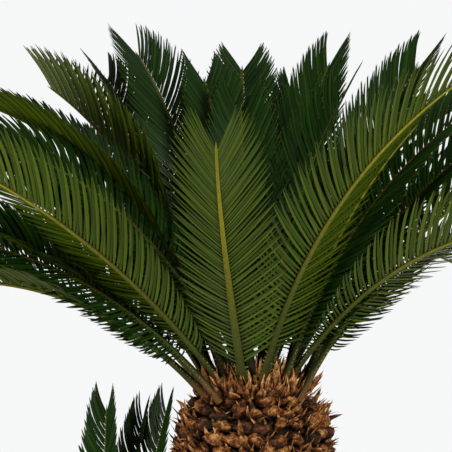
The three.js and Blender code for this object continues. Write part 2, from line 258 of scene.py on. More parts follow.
def frondList(placed, rings, kind):
    # every frond as a dictionary: the usual habit, then what its kind, its row and its own habit change
    fronds = [dict(zip(frondFields, row)) for row in placed]
    for row in rings:
        fronds += whorlFronds(dict(zip(whorlFields, row)))
    return [{**usualHabit, **kind, **frond, **habits.get(frond["name"], {})} for frond in fronds]


def trunkCentre(shape, height):
    # the middle of the trunk at a height, on its lean
    share = height / shape["height"]
    foot, lean = shape["at"], shape["lean"]
    return np.array([foot[0] + lean[0] * share, foot[1] + lean[1] * share, height])


flareFade = 0.12
shoulderFrom = 0.82


def trunkRadius(shape, height):
    # widest at the root flare, almost straight, then drawn in at the shoulder
    share = height / shape["height"]
    flared = shape["radius"] + shape["flare"] * math.exp(-share / flareFade)
    return flared - shape["shoulder"] * smooth(shoulderFrom, 1, share)


fineSteps = 60
droopPower = 1.3
ribTaper = 1.4
clearance = 0.0003  # between a frond's foot and the disc


def ribFrame(frond, share):
    # along the rib, level to its left, and out of its upper side
    share = np.asarray(share, float)
    slope = np.radians(frond["rise"] - frond["droop"] * share ** droopPower)
    azimuth = np.radians(frond["heading"] + frond["sway"] * share)
    level = np.cos(slope)
    along = np.stack([level * np.cos(azimuth), level * np.sin(azimuth), np.sin(slope)], -1)
    left = np.stack([-np.sin(azimuth), np.cos(azimuth), np.zeros_like(azimuth)], -1)
    return along, left, np.cross(along, left)


def ribCourse(frond):
    # the rib's points, walked out from its seat on the disc
    base = frond["base"]
    seat = math.radians(frond["seat"])
    start = trunkCentre(base, base["height"] + clearance)
    start[:2] += frond["ring"] * np.array([math.cos(seat), math.sin(seat)])
    along = ribFrame(frond, (np.arange(fineSteps) + 0.5) / fineSteps)[0]
    return np.vstack([start, start + np.cumsum(along, 0) * frond["length"] / fineSteps])


def courseAt(course, share):
    place = np.clip(np.asarray(share, float) * fineSteps, 0, fineSteps - 1e-9)
    step = place.astype(int)
    part = (place - step)[:, None]
    return course[step] * (1 - part) + course[step + 1] * part


def ribWidth(frond, share):
    return frond["tipWidth"] + (frond["width"] - frond["tipWidth"]) * (1 - share) ** ribTaper


# Leaflets are shorter below the first share of their row and a little shorter beyond the second.
leafletLengths = {"lowBefore": 0.36, "lowPower": 1.3, "highAfter": 0.7, "highCut": 0.28}
troughBy = 0.5  # share of the row by which the leaflets have their full raise
rollFrom = 0.4
rollKept = 0.6  # of the roll, at the tip


def leafletRule(frond, share, side):
    # length, angle to the rib, and how far a leaflet is raised towards the upper side
    low = np.maximum(0, 1 - share / leafletLengths["lowBefore"])
    high = np.maximum(0, (share - leafletLengths["highAfter"]) / (1 - leafletLengths["highAfter"]))
    lower = 1 - frond["short"] * low ** leafletLengths["lowPower"]
    upper = 1 - leafletLengths["highCut"] * high ** 2
    angle = (
        frond["open"] * (1 - share) * (1 - 2 * share)
        + frond["even"] * 4 * share * (1 - share)
        + frond["close"] * share * (2 * share - 1)
        + frond["skew"] * side * (1 - share)
    )
    trough = frond["hang"] + (frond["raise"] - frond["hang"]) * smooth(0, troughBy, share)
    raised = trough + side * frond["roll"] * (1 - (1 - rollKept) * smooth(rollFrom, 1, share))
    return frond["leaflet"] * lower * upper, angle, raised


class Wire:
    # a socket that takes part in sums, so that a formula reads as one
    def __init__(self, sheet, socket):
        self.sheet = sheet
        self.socket = socket

    def work(self, operation, *values):
        return self.sheet.add("ShaderNodeMath", {"operation": operation}, dict(enumerate(values)))

    def __add__(self, other):
        return self.work("ADD", self, other)

    def __radd__(self, other):
        return self.work("ADD", other, self)

    def __sub__(self, other):
        return self.work("SUBTRACT", self, other)

    def __rsub__(self, other):
        return self.work("SUBTRACT", other, self)

    def __mul__(self, other):
        return self.work("MULTIPLY", self, other)

    def __rmul__(self, other):
        return self.work("MULTIPLY", other, self)

    def clamped(self):
        return self.sheet.add("ShaderNodeClamp", {}, {"Value": self})


class Sheet:
    # builds a shader or geometry tree: add() makes a node and gives back one of its outputs
    def __init__(self, tree):
        self.tree = tree

    def find(self, sockets, key):
        if isinstance(key, int):
            return sockets[key]
        exact = [socket for socket in sockets if socket.identifier == key]
        named = [socket for socket in sockets if socket.name == key and socket.enabled]
        return (exact or named)[0]

    def add(self, kind, settings=None, sockets=None, output=0):
        node = self.tree.nodes.new(kind)
        for name, value in (settings or {}).items():
            if name == "stops":
                self.setStops(node.color_ramp, value)
            else:
                setattr(node, name, value)
        for key, value in (sockets or {}).items():
            socket = self.find(node.inputs, key)
            if isinstance(value, Wire):
                self.tree.links.new(value.socket, socket)
            else:
                socket.default_value = value
        return Wire(self, self.find(node.outputs, output)) if node.outputs else node

    def named(self, label, kind):
        settings = {"data_type": kind}
        return self.add("GeometryNodeInputNamedAttribute", settings, {"Name": label}, "Attribute")

    def setStops(self, ramp, stops):
        while len(ramp.elements) > 1:
            ramp.elements.remove(ramp.elements[-1])
        for index, (place, colour) in enumerate(stops):
            stop = ramp.elements[0] if index == 0 else ramp.elements.new(place)
            stop.position = place
            stop.color = (*colour, 1)


def newMaterial(name, **plain):
    material = bpy.data.materials.new(name)
    material.use_nodes = True
    shader = next(node for node in material.node_tree.nodes if node.type == "BSDF_PRINCIPLED")
    for socket, value in plain.items():
        shader.inputs[socket.replace("_", " ")].default_value = value
    return material, Sheet(material.node_tree), shader


def feed(sheet, shader, **wires):
    for socket, wire in wires.items():
        sheet.tree.links.new(wire.socket, shader.inputs[socket.replace("_", " ")])


def leafMaterial(name, colour, roughness, shine):
    # a plain base colour, so that each leaflet keeps its own shade however the mesh is unfolded
    return newMaterial(name, Base_Color=(*colour, 1), Roughness=roughness, Specular_IOR_Level=shine)[0]


upperFinish = {
    "colours": [(0.0082, 0.030, 0.0028), (0.0056, 0.021, 0.0024), (0.0150, 0.046, 0.0038)],
    "roughness": 0.42,
    "shine": 0.14,
}
underFinish = {
    "colours": [(0.044, 0.074, 0.0028), (0.029, 0.053, 0.0024), (0.064, 0.097, 0.0036)],
    "roughness": 0.42,
    "shine": 0.2,
}
upperLooks = [
    leafMaterial(f"leafUpper{index}", colour, upperFinish["roughness"], upperFinish["shine"])
    for index, colour in enumerate(upperFinish["colours"])
]
underLooks = [
    leafMaterial(f"leafUnder{index}", colour, underFinish["roughness"], underFinish["shine"])
    for index, colour in enumerate(underFinish["colours"])
]
tipLook = leafMaterial("leafTip", (0.080, 0.070, 0.010), roughness=0.6, shine=0.2)
footLook = leafMaterial("leafFoot", (0.075, 0.060, 0.010), roughness=0.6, shine=0.15)
spineLook = leafMaterial("spine", (0.42, 0.27, 0.05), roughness=0.55, shine=0.3)

ribFinish = {
    "colours": [  # from the foot of the stalk to the rib's tip
        (0.0, (0.170, 0.070, 0.020)),
        (0.03, (0.120, 0.078, 0.026)),
        (0.075, (0.040, 0.050, 0.011)),
        (0.30, (0.080, 0.092, 0.012)),
        (0.50, (0.150, 0.155, 0.014)),
        (0.75, (0.265, 0.248, 0.017)),
        (1.0, (0.230, 0.235, 0.020)),
    ],
    "mottle": [(0.3, (0.55, 0.5, 0.45)), (0.7, (1.0, 1.0, 1.0))],
    "mottleScale": 180,
    "mottleShift": 0.12,  # how far the mottle moves a place along the colours
    "mottleShare": 0.5,
    "poreScale": 900,
    "poreDepth": 0.0006,
    "poreStrength": 0.3,
    "upperTint": (0.30, 0.42, 0.40),  # the upper side is darker than the under side
    "upperShare": 0.2,  # of that tint at the edges of the rib
    "roughness": 0.42,
    "roughnessSpread": 0.2,
    "shine": 0.12,
}


def ribMaterial():
    finish = ribFinish
    material, sheet, shader = newMaterial("frondRib", Specular_IOR_Level=finish["shine"])
    place = sheet.add("ShaderNodeTexCoord", {}, {}, "Object")

    def noise(scale, detail):
        sockets = {"Vector": place, "Scale": scale, "Detail": detail}
        return sheet.add("ShaderNodeTexNoise", {}, sockets, "Fac")

    def multiplied(factor, colour, tint):
        sockets = {"Factor_Float": factor, "A_Color": colour, "B_Color": tint}
        settings = {"data_type": "RGBA", "blend_type": "MULTIPLY"}
        return sheet.add("ShaderNodeMix", settings, sockets, "Result_Color")

    along = sheet.add("ShaderNodeAttribute", {"attribute_name": "along"}, {}, "Fac")
    high = sheet.add("ShaderNodeAttribute", {"attribute_name": "high"}, {}, "Fac")
    mottle = noise(finish["mottleScale"], 3)
    pores = noise(finish["poreScale"], 2)
    shade = (along + (mottle - 0.5) * finish["mottleShift"]).clamped()
    colour = sheet.add("ShaderNodeValToRGB", {"stops": finish["colours"]}, {"Fac": shade})
    blotches = sheet.add("ShaderNodeValToRGB", {"stops": finish["mottle"]}, {"Fac": mottle})
    tinted = multiplied(finish["mottleShare"], colour, blotches)
    shaded = multiplied((high + finish["upperShare"]).clamped(), tinted, (*finish["upperTint"], 1))
    bump = sheet.add("ShaderNodeBump", {}, {
        "Strength": finish["poreStrength"],
        "Distance": finish["poreDepth"],
        "Height": pores,
    })
    roughness = finish["roughness"] + finish["roughnessSpread"] * mottle
    feed(sheet, shader, Base_Color=shaded, Roughness=roughness, Normal=bump)
    return material


barkFinish = {
    "patchScale": 95,
    "detail": 4,
    "coarseness": 0.65,
    "alongShare": 0.62,  # how much paler a scale's tip is than its root, the darker root being in part painted shade
    "patchShare": 2.0,
    "grainShare": 1.0,
    "toneShare": 0.26,  # how much one scale differs from the next
    "paler": 0.02,
    "relief": 0.0028,
    "reliefStrength": 0.9,
    "roughness": 0.85,
    "roughnessCut": 0.45,
    "shine": 0.25,
}
stubColoursAndGapShade = [  # from painted shade in the gaps between the stubs to the worn edges
    (0.0, (0.004, 0.002, 0.001)),
    (0.3, (0.016, 0.006, 0.003)),
    (0.55, (0.110, 0.032, 0.007)),
    (0.78, (0.290, 0.098, 0.020)),
    (1.0, (0.560, 0.310, 0.115)),
]
# from painted shade where the husks and scales crowd at their roots to their pale dry tips
huskColoursAndShade = [
    (0.0, (0.016, 0.007, 0.003)),
    (0.3, (0.125, 0.040, 0.010)),
    (0.55, (0.420, 0.155, 0.038)),
    (0.8, (0.680, 0.350, 0.120)),
    (1.0, (0.840, 0.600, 0.320)),
]


def barkMaterial(name, stops, grainScale):
    # along runs from the root of a scale to its tip, and tone differs from scale to scale
    finish = barkFinish
    material, sheet, shader = newMaterial(name, Specular_IOR_Level=finish["shine"])
    place = sheet.add("ShaderNodeTexCoord", {}, {}, "Object")

    def noise(scale):
        sockets = {
            "Vector": place,
            "Scale": scale,
            "Detail": finish["detail"],
            "Roughness": finish["coarseness"],
        }
        return sheet.add("ShaderNodeTexNoise", {}, sockets, "Fac")

    along = sheet.add("ShaderNodeAttribute", {"attribute_name": "along"}, {}, "Fac")
    tone = sheet.add("ShaderNodeAttribute", {"attribute_name": "tone"}, {}, "Fac")
    patches = noise(finish["patchScale"])
    grain = noise(grainScale)
    # darker towards each scale's root: painted shade where it sinks between the others; the paler tips are
    # their own dry colour
    level = along * finish["alongShare"] + (patches - 0.5) * finish["patchShare"]
    level = level + (grain - 0.5) * finish["grainShare"] + tone * finish["toneShare"] + finish["paler"]
    colour = sheet.add("ShaderNodeValToRGB", {"stops": stops}, {"Fac": level.clamped()})
    bump = sheet.add("ShaderNodeBump", {}, {
        "Strength": finish["reliefStrength"],
        "Distance": finish["relief"],
        "Height": grain + patches,
    })
    roughness = finish["roughness"] - finish["roughnessCut"] * patches
    feed(sheet, shader, Base_Color=colour, Roughness=roughness, Normal=bump)
    return material


stubLook = barkMaterial("leafBase", stubColoursAndGapShade, grainScale=420)
huskLook = barkMaterial("husk", huskColoursAndShade, grainScale=600)
ribLook = ribMaterial()


def ringFaces(around, count):
    # the quads between each ring of points and the next
    faces = []
    for ring in range(count - 1):
        for corner in range(around):
            after = (corner + 1) % around
            near, far = ring * around, (ring + 1) * around
            faces.append([near + corner, near + after, far + after, far + corner])
    return faces


def shellMesh(name, rings, tip, parts=None, sharp=()):
    # a closed shell through rings of points, from a cap at its root to a point at its tip. parts gives each
    # face's part by ring and corner, and the edges that run along a sharp corner are creased.
    count, around = rings.shape[:2]
    points = [*rings.reshape(-1, 3), tip]
    last = (count - 1) * around
    faces = [list(range(around))[::-1], *ringFaces(around, count)]
    faces += [[last + corner, last + (corner + 1) % around, len(points) - 1] for corner in range(around)]
    kinds = [0] * len(faces)
    if parts:
        kinds[1:] = [parts(ring, corner) for ring in range(count) for corner in range(around)]
    mesh = bpy.data.meshes.new(name)
    mesh.from_pydata([tuple(point) for point in points], [], faces)
    mesh.shade_smooth()
    mesh.attributes.new("part", "INT", "FACE").data.foreach_set("value", kinds)
    far = np.array(points)[:, 0]
    share = (far - far.min()) / (far.max() - far.min())
    mesh.attributes.new("along", "FLOAT", "POINT").data.foreach_set("value", share)
    if sharp:
        flags = []
        for edge in mesh.edges:
            start, end = edge.vertices
            lengthwise = max(start, end) < last + around and start % around == end % around
            flags.append(lengthwise and start % around in sharp)
        mesh.attributes.new("sharp_edge", "BOOLEAN", "EDGE").data.foreach_set("value", flags)
    return mesh


def formCollection(name, meshes):
    collection = bpy.data.collections.new(name)
    for index, mesh in enumerate(meshes):
        collection.objects.link(bpy.data.objects.new(f"{name}{index:02d}", mesh))
    return collection


def pointMesh(name, places, edges=(), **values):
    # points, with an attribute for each of the values
    mesh = bpy.data.meshes.new(name)
    mesh.from_pydata([tuple(place) for place in places], edges, [])
    for label, value in values.items():
        value = np.asarray(value)
        if value.ndim == 2:
            kind, field = "FLOAT_VECTOR", "vector"
        elif value.dtype.kind in "iub":
            kind, field = "INT", "value"
        else:
            kind, field = "FLOAT", "value"
        mesh.attributes.new(label, kind, "POINT").data.foreach_set(field, value.ravel())
    return mesh


def newTree(name, inputs):
    tree = bpy.data.node_groups.new(name, "GeometryNodeTree")
    tree.interface.new_socket("Geometry", in_out="INPUT", socket_type="NodeSocketGeometry")
    tree.interface.new_socket("Geometry", in_out="OUTPUT", socket_type="NodeSocketGeometry")
    for label, kind in inputs.items():
        tree.interface.new_socket(label, in_out="INPUT", socket_type=f"NodeSocket{kind}")
    sheet = Sheet(tree)
    source = tree.nodes.new("NodeGroupInput")
    return sheet, {socket.name: Wire(sheet, socket) for socket in source.outputs if socket.name}


def scatterTree(name, looks):
    # stands a copy of a form on every point. looks gives (part, shade, material), with None for any.
    sheet, given = newTree(name, {"Forms": "Collection", "Length": "Float", "Breadth": "Float"})
    forms = sheet.add("GeometryNodeCollectionInfo", {}, {
        "Collection": given["Forms"],
        "Separate Children": True,
        "Reset Children": True,
    })
    turned = sheet.add("FunctionNodeAxesToRotation", {"primary_axis": "X", "secondary_axis": "Z"}, {
        "Primary Axis": sheet.named("course", "FLOAT_VECTOR"),
        "Secondary Axis": sheet.named("face", "FLOAT_VECTOR"),
    })
    across = sheet.named("breadth", "FLOAT") * given["Breadth"]
    size = sheet.add("ShaderNodeCombineXYZ", {}, {
        "X": sheet.named("reach", "FLOAT") * given["Length"],
        "Y": across,
        "Z": across,
    })
    placed = sheet.add("GeometryNodeInstanceOnPoints", {}, {
        "Points": given["Geometry"],
        "Instance": forms,
        "Pick Instance": True,
        "Instance Index": sheet.named("form", "INT"),
        "Rotation": turned,
        "Scale": size,
    })
    shape = sheet.add("GeometryNodeRealizeInstances", {}, {"Geometry": placed})

    def equals(label, number):
        return sheet.add("FunctionNodeCompare", {"data_type": "INT", "operation": "EQUAL"}, {
            "A_INT": sheet.named(label, "INT"),
            "B_INT": number,
        })

    for part, shade, material in looks:
        wanted = (("part", part), ("shade", shade))
        tests = [equals(label, number) for label, number in wanted if number is not None]
        if len(tests) == 2:
            tests = [sheet.add("FunctionNodeBooleanMath", {"operation": "AND"}, dict(enumerate(tests)))]
        sockets = {"Geometry": shape, "Material": material}
        if tests:
            sockets["Selection"] = tests[0]
        shape = sheet.add("GeometryNodeSetMaterial", {}, sockets)
    sheet.add("NodeGroupOutput", {}, {"Geometry": shape})
    return sheet.tree


def grown(name, tree, mesh, **inputs):
    # runs a tree over a mesh and gives the result as a plain object
    seed = bpy.data.objects.new(name + "Seed", mesh)
    bpy.context.scene.collection.objects.link(seed)
    modifier = seed.modifiers.new(name, "NODES")
    modifier.node_group = tree
    for socket in tree.interface.items_tree:
        if socket.in_out == "INPUT" and socket.name in inputs:
            modifier[socket.identifier] = inputs[socket.name]
    seed.update_tag()
    bpy.context.view_layer.update()
    view = bpy.context.evaluated_depsgraph_get()
    result = bpy.data.meshes.new_from_object(seed.evaluated_get(view), depsgraph=view)
    bpy.data.objects.remove(seed)
    result.name = name
    piece = bpy.data.objects.new(name, result)
    bpy.context.scene.collection.objects.link(piece)
    return piece


def scattered(name, tree, forms, places, **values):
    # a copy of one of the forms on every place
    points = pointMesh(name + "Points", places, **values)
    return grown(name, tree, points, Forms=forms, Length=1.0, Breadth=1.0)


def settle(piece, nodes=()):
    # every piece rides on the plant's one body
    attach(piece, "root")
    if nodes:
        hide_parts(*nodes)
    count = sum(len(face.vertices) - 2 for face in piece.data.polygons)
    print(f"{piece.name}: {count} triangles")
    return piece


# The camera stands level in front of the plant and looks along +Y.
camera = {
    "place": (-0.0486, -2.4, 0.745),
    "distance": 2.4,
    "width": 0.8136,  # of the view at that distance
    "sensor": 36.0,
}
eye = bpy.data.cameras.new("camera")
eye.sensor_width = camera["sensor"]
eye.lens = camera["sensor"] * camera["distance"] / camera["width"]
eyeObject = bpy.data.objects.new("camera", eye)
eyeObject.location = camera["place"]
eyeObject.rotation_euler = (math.radians(90), 0, 0)
bpy.context.scene.collection.objects.link(eyeObject)
bpy.context.scene.camera = eyeObject
print("camera placed")

crown = frondList(placedFronds, whorls, crownKind)
rosette = frondList(offsetFronds, offsetWhorls, offsetKind)
for frond in crown + rosette:
    frond["course"] = ribCourse(frond)

# Leaflets. A form's chord runs from 0 to 1 along X, so that a leaflet's tip is where its rule puts it.
upperSide, underSide, tipPart, footPart = range(4)
leafletForm = {
    "stations": [0, 0.035, 0.12, 0.32, 0.54, 0.74, 0.88, 0.95],
    "widths": [0.42, 0.62, 0.9, 1.0, 0.97, 0.8, 0.52, 0.28],
    "slimness": 46,  # a leaflet's length over half its width
    "bends": [0.016, 0.036, 0.054],  # how far the blade bows sideways, as a share of its length
    "lifts": [0.024, 0.014, 0.034],  # and upwards
    "section": [(1.0, -0.14), (0.42, 0.14), (-0.42, 0.14), (-1.0, -0.14), (-0.2, -0.36), (0.2, -0.36)],
}


def leafletMesh(bend, lift, mirror):
    form = leafletForm
    rings = []
    for share, width in zip(form["stations"], form["widths"]):
        bow = 4 * share * (1 - share) * form["slimness"]
        rings.append([
            (share, width * across + bend * mirror * bow, width * high + lift * bow)
            for across, high in form["section"]
        ])
    lastRing = len(rings) - 1

    def partOf(ring, corner):
        if ring == 0:
            return footPart
        if ring >= lastRing:
            return tipPart
        return upperSide if corner < 3 else underSide

    return shellMesh("leafletForm", np.array(rings), (1, 0, 0), partOf, sharp=(0, 3))


leafletForms = formCollection("leafletForm", [
    leafletMesh(bend, lift, mirror)
    for bend, lift in zip(leafletForm["bends"], leafletForm["lifts"])
    for mirror in (1, -1)
])
leafletTree = scatterTree("leaflets", [
    *((upperSide, shade, look) for shade, look in enumerate(upperLooks)),
    *((underSide, shade, look) for shade, look in enumerate(underLooks)),
    (tipPart, None, tipLook),
    (footPart, None, footLook),
])


def ribSegments(frond, foot=0.02, pieces=20):
    # the rib as short rods: where they start and end, and their radii
    places = courseAt(frond["course"], np.linspace(foot, 1, pieces + 1))
    middle = (np.arange(pieces) + 0.5) / pieces
    return places[:-1], places[1:], ribWidth(frond, middle) / 2


trunkRod = 1.1  # the rod that stands for a trunk, in its radii


def limbsAround(frond, fronds):
    # every other rib, and the trunk, as rods with a radius
    shape = frond["base"]
    thick = shape["radius"] * trunkRod
    foot = trunkCentre(shape, 0)
    top = trunkCentre(shape, shape["height"] - thick)
    rods = [ribSegments(other) for other in fronds if other["name"] != frond["name"]]
    rods.append((foot[None], top[None], np.array([thick])))
    return tuple(np.concatenate(parts) for parts in zip(*rods))


samples = np.linspace(0.12, 1, 14)  # the places along a leaflet that are tried against the limbs


def nearest(root, tip, limbs):
    # the least gap between each leaflet and any limb
    starts, ends, radii = limbs
    places = (root[:, None] + (tip - root)[:, None] * samples[None, :, None]).reshape(-1, 1, 3)
    runs = ends - starts
    share = np.clip(((places - starts) * runs).sum(-1) / (runs * runs).sum(-1), 0, 1)
    away = np.linalg.norm(places - starts - share[..., None] * runs, axis=-1) - radii
    return away.min(-1).reshape(len(root), len(samples)).min(-1)


# A leaflet that would meet a limb is turned up or down by so many degrees, then shortened to such a share,
# and then left out.
tries = [(1, 0), (1, 9), (1, -9), (1, 18), (1, -18), (0.8, 0), (0.8, 9), (0.8, -9), (0.6, 0), (0.4, 0)]
leafletRow = {
    "clear": 0.0012,  # of any limb
    "outward": 0.72,  # where a leaflet stands on its rib, in half widths of the rib
    "upward": 0.25,
    "stagger": 0.12,  # how far the left row is moved on and the right one back, in steps
    "crowding": 0.18,  # how much closer together the leaflets stand near the tip
    "slimming": 0.2,  # and how much narrower they are there
    "lengthSpread": 0.055,  # how much leaflets differ, as a share of their length
    "lengthCut": 0.05,
    "angleSpread": 2.0,
    "raiseSpread": 1.4,
    "widthSpread": 0.08,
}
# How far a blade is turned about its length, its forward edge up.
bladeTilt = 14
ownTilts = {
    "frond_front_left": 8,
    "frond_front_right": 4,
    "frond_right_low": -4,
    "frond_left_upper": -30,
    "frond_left_back": -26,
    "frond_left_middle": -4,
    "frond_left_low": -16,
    "frond_left_lowest": -14,
    "frond_left_second": -4,
    "frond_left_third": -4,
    "frond_right_middle": -8,
    "frond_right_lower": -6,
    "frond_right_second": -4,
}


def leafletPoints(frond, number, fronds):
    # where each leaflet stands, how it is turned, and its size, form and shade
    row = leafletRow
    pairs = round(frond["length"] * (1 - frond["bare"]) / frond["spacing"])
    limbs = limbsAround(frond, fronds)
    tilt = math.radians(ownTilts.get(frond["name"], bladeTilt))
    found = {key: [] for key in ("place", "course", "face", "reach", "breadth", "form", "shade")}
    for side in (1, -1):
        index = np.arange(pairs)
        even = (index + 0.5 + row["stagger"] * side) / pairs
        leafShare = even * (1 + row["crowding"] * (1 - even))
        share = frond["bare"] + (1 - frond["bare"]) * leafShare
        along, left, up = ribFrame(frond, share)
        half = ribWidth(frond, share)[:, None] / 2
        place = courseAt(frond["course"], share)
        place = place + left * side * half * row["outward"] + up * half * row["upward"]
        length, angle, raised = leafletRule(frond, leafShare, side)
        stream = number * 7 + (3 if side > 0 else 0)  # so that no two rows vary alike
        length = length * (1 + row["lengthSpread"] * spread(index, stream + 1) - row["lengthCut"])
        angle = np.radians(angle + row["angleSpread"] * spread(index, stream + 2))
        raised = raised + row["raiseSpread"] * spread(index, stream + 3)
        result = {"course": np.zeros((pairs, 3)), "face": np.zeros((pairs, 3)), "reach": np.zeros(pairs)}
        waiting = index
        for shorter, turn in tries:
            one = waiting
            lift = np.radians(raised[one] + turn)[:, None]
            out = left[one] * side * np.cos(lift) + up[one] * np.sin(lift)
            face = up[one] * np.cos(lift) - left[one] * side * np.sin(lift)
            wide = angle[one, None]
            course = along[one] * np.cos(wide) + out * np.sin(wide)
            forward = along[one] * np.sin(wide) - out * np.cos(wide)
            face = face * math.cos(tilt) - forward * math.sin(tilt)
            reach = length[one] * shorter
            good = nearest(place[one], place[one] + course * reach[:, None], limbs) > row["clear"]
            for key, value in (("course", course), ("face", face), ("reach", reach)):
                result[key][one[good]] = value[good]
            waiting = one[~good]
        slim = (length / frond["leaflet"]) ** 0.5 * (1 - row["slimming"] * leafShare)
        result["place"] = place
        result["breadth"] = frond["blade"] / 2 * slim * (1 + row["widthSpread"] * spread(index, stream + 4))
        result["form"] = pick(index, stream + 5, len(leafletForm["bends"])) * 2 + (0 if side > 0 else 1)
        result["shade"] = pick(index, stream + 6, len(upperLooks))
        kept = result["reach"] > 0
        for key, values in found.items():
            values.append(result[key][kept])
    return {key: np.concatenate(parts) for key, parts in found.items()}


def leafletPiece(name, fronds, everyFrond, firstNumber):
    sets = [leafletPoints(frond, firstNumber + index, everyFrond) for index, frond in enumerate(fronds)]
    joined = {key: np.concatenate([points[key] for points in sets]) for key in sets[0]}
    piece = scattered(name, leafletTree, leafletForms, joined.pop("place"), **joined)
    return settle(piece, [frond["name"] for frond in fronds])


perPiece = 8
offsetNumber = 40  # so that the offset's leaflets vary in another way
for group, first in enumerate(range(0, len(crown), perPiece)):
    leafletPiece(f"crown_leaflets_{group + 1}", crown[first:first + perPiece], crown, first)
leafletPiece("offset_leaflets", rosette, rosette, offsetNumber)
print("leaflets grown")

# Ribs: one swept section for each frond, from a foot sunk in the trunk to a fine point.
rib = {
    "stations": 44,
    "gather": 1.15,  # above 1 the stations stand closer near the foot
    "sides": 10,
    "sunk": 0.014,
    "footSwell": 0.35,
    "footLength": 0.022,  # of the swelling, as a share of the rib
    "footEnd": 1.1,  # the sunk end's radius, in the foot's
    "point": 4,  # length past the last station, in tip widths
    "pointRadius": 0.0004,
}


def ribTree():
    sheet, given = newTree("ribs", {"Sides": "Int", "Flatness": "Float"})
    curve = sheet.add("GeometryNodeMeshToCurve", {}, {"Mesh": given["Geometry"]})
    aimed = sheet.add("GeometryNodeSetCurveNormal", {"mode": "FREE"}, {
        "Curve": curve,
        "Normal": sheet.named("above", "FLOAT_VECTOR"),
    })
    ring = sheet.add("GeometryNodeCurvePrimitiveCircle", {}, {"Resolution": given["Sides"], "Radius": 1.0})
    size = sheet.add("ShaderNodeCombineXYZ", {}, {"X": given["Flatness"], "Y": 1.0, "Z": 1.0})
    place = sheet.add("GeometryNodeInputPosition", {}, {}, "Position")
    marked = sheet.add("GeometryNodeStoreNamedAttribute", {"data_type": "FLOAT", "domain": "POINT"}, {
        "Geometry": ring,
        "Name": "high",
        "Value": sheet.add("ShaderNodeSeparateXYZ", {}, {"Vector": place}, "X"),
    })
    section = sheet.add("GeometryNodeTransform", {}, {"Geometry": marked, "Scale": size})
    swept = sheet.add("GeometryNodeCurveToMesh", {}, {
        "Curve": aimed,
        "Profile Curve": section,
        "Scale": sheet.named("girth", "FLOAT"),
        "Fill Caps": True,
    })
    real = sheet.add("GeometryNodeRealizeInstances", {}, {"Geometry": swept})
    shaped = sheet.add("GeometryNodeSetMaterial", {}, {"Geometry": real, "Material": ribLook})
    sheet.add("NodeGroupOutput", {}, {"Geometry": shaped})
    return sheet.tree


def ribPiece(name, fronds, tree):
    found = {key: [] for key in ("place", "above", "girth", "along")}
    edges = []
    shares = np.linspace(0, 1, rib["stations"]) ** rib["gather"]
    swell = 1 + rib["footSwell"] * np.exp(-shares / rib["footLength"])
    for number, frond in enumerate(fronds):
        along, _, up = ribFrame(frond, shares)
        course = courseAt(frond["course"], shares)
        foot = course[0] - along[0] * rib["sunk"]
        end = course[-1] + along[-1] * frond["tipWidth"] * rib["point"]
        radius = ribWidth(frond, shares) / 2 * swell
        found["place"].append(np.vstack([foot, course, end]))
        found["above"].append(np.vstack([up[0], up, up[-1]]))
        found["girth"].append(np.concatenate([[radius[0] * rib["footEnd"]], radius, [rib["pointRadius"]]]))
        found["along"].append(np.concatenate([[0], shares, [1]]))
        first = number * (len(shares) + 2)
        edges += [(first + step, first + step + 1) for step in range(len(shares) + 1)]
    joined = {key: np.concatenate(parts) for key, parts in found.items()}
    mesh = pointMesh(name + "Lines", joined.pop("place"), edges, **joined)
    piece = grown(name, tree, mesh, Sides=rib["sides"], Flatness=fronds[0]["flatness"])
    piece.data.shade_smooth()
    return settle(piece)


sweepRibs = ribTree()
ribPiece("crown_ribs", crown, sweepRibs)
ribPiece("offset_ribs", rosette, sweepRibs)
print("ribs swept")

# Thorns along both edges of each stalk, below its leaflets.
spines = {
    "from": 0.035,  # share of the rib at which they begin
    "spacing": 0.008,
    "length": 0.0065,
    "thickness": 0.0011,
    "ring": 5,
    "tip": (1, 0.4, 0.3),  # along the thorn, and how far it hooks aside, in its thicknesses
    "outward": 0.93,  # in half widths of the stalk
    "forward": 0.45,  # how far they point along the stalk
    "jitter": 0.002,
    "upSpread": 0.3,
    "lengthSpread": 0.35,
}
corners = np.radians(np.arange(spines["ring"]) * 360 / spines["ring"])
spineRing = np.stack([np.zeros_like(corners), np.cos(corners), np.sin(corners)], -1)
spineForm = formCollection("spineForm", [shellMesh("spineForm", spineRing[None], spines["tip"])])


def spinePiece(name, fronds):
    found = {key: [] for key in ("place", "course", "face", "reach", "breadth", "form")}
    for number, frond in enumerate(fronds):
        size = frond["width"] / crownKind["width"]
        shares = np.arange(spines["from"], frond["bare"], spines["spacing"] * size / frond["length"])
        for side in (1, -1):
            index = np.arange(len(shares)) + number * 17  # so that no two stalks vary alike
            share = shares + spines["jitter"] * spread(index, 3 + side)
            along, left, up = ribFrame(frond, share)
            half = ribWidth(frond, share)[:, None] / 2
            aside = left * side
            rise = spines["upSpread"] * spread(index, 5)[:, None]
            found["place"].append(courseAt(frond["course"], share) + aside * half * spines["outward"])
            found["course"].append(aside + spines["forward"] * along + rise * up)
            found["face"].append(up)
            varied = 1 + spines["lengthSpread"] * spread(index, 7)
            found["reach"].append(spines["length"] * size ** 0.5 * varied)
            found["breadth"].append(np.full(len(share), spines["thickness"] * size ** 0.5))
            found["form"].append(np.zeros(len(share), int))
    joined = {key: np.concatenate(parts) for key, parts in found.items()}
    tree = scatterTree(name, [(None, None, spineLook)])
    return settle(scattered(name, tree, spineForm, joined.pop("place"), **joined))


spinePiece("crown_spines", crown)
spinePiece("offset_spines", rosette)
print("spines set")
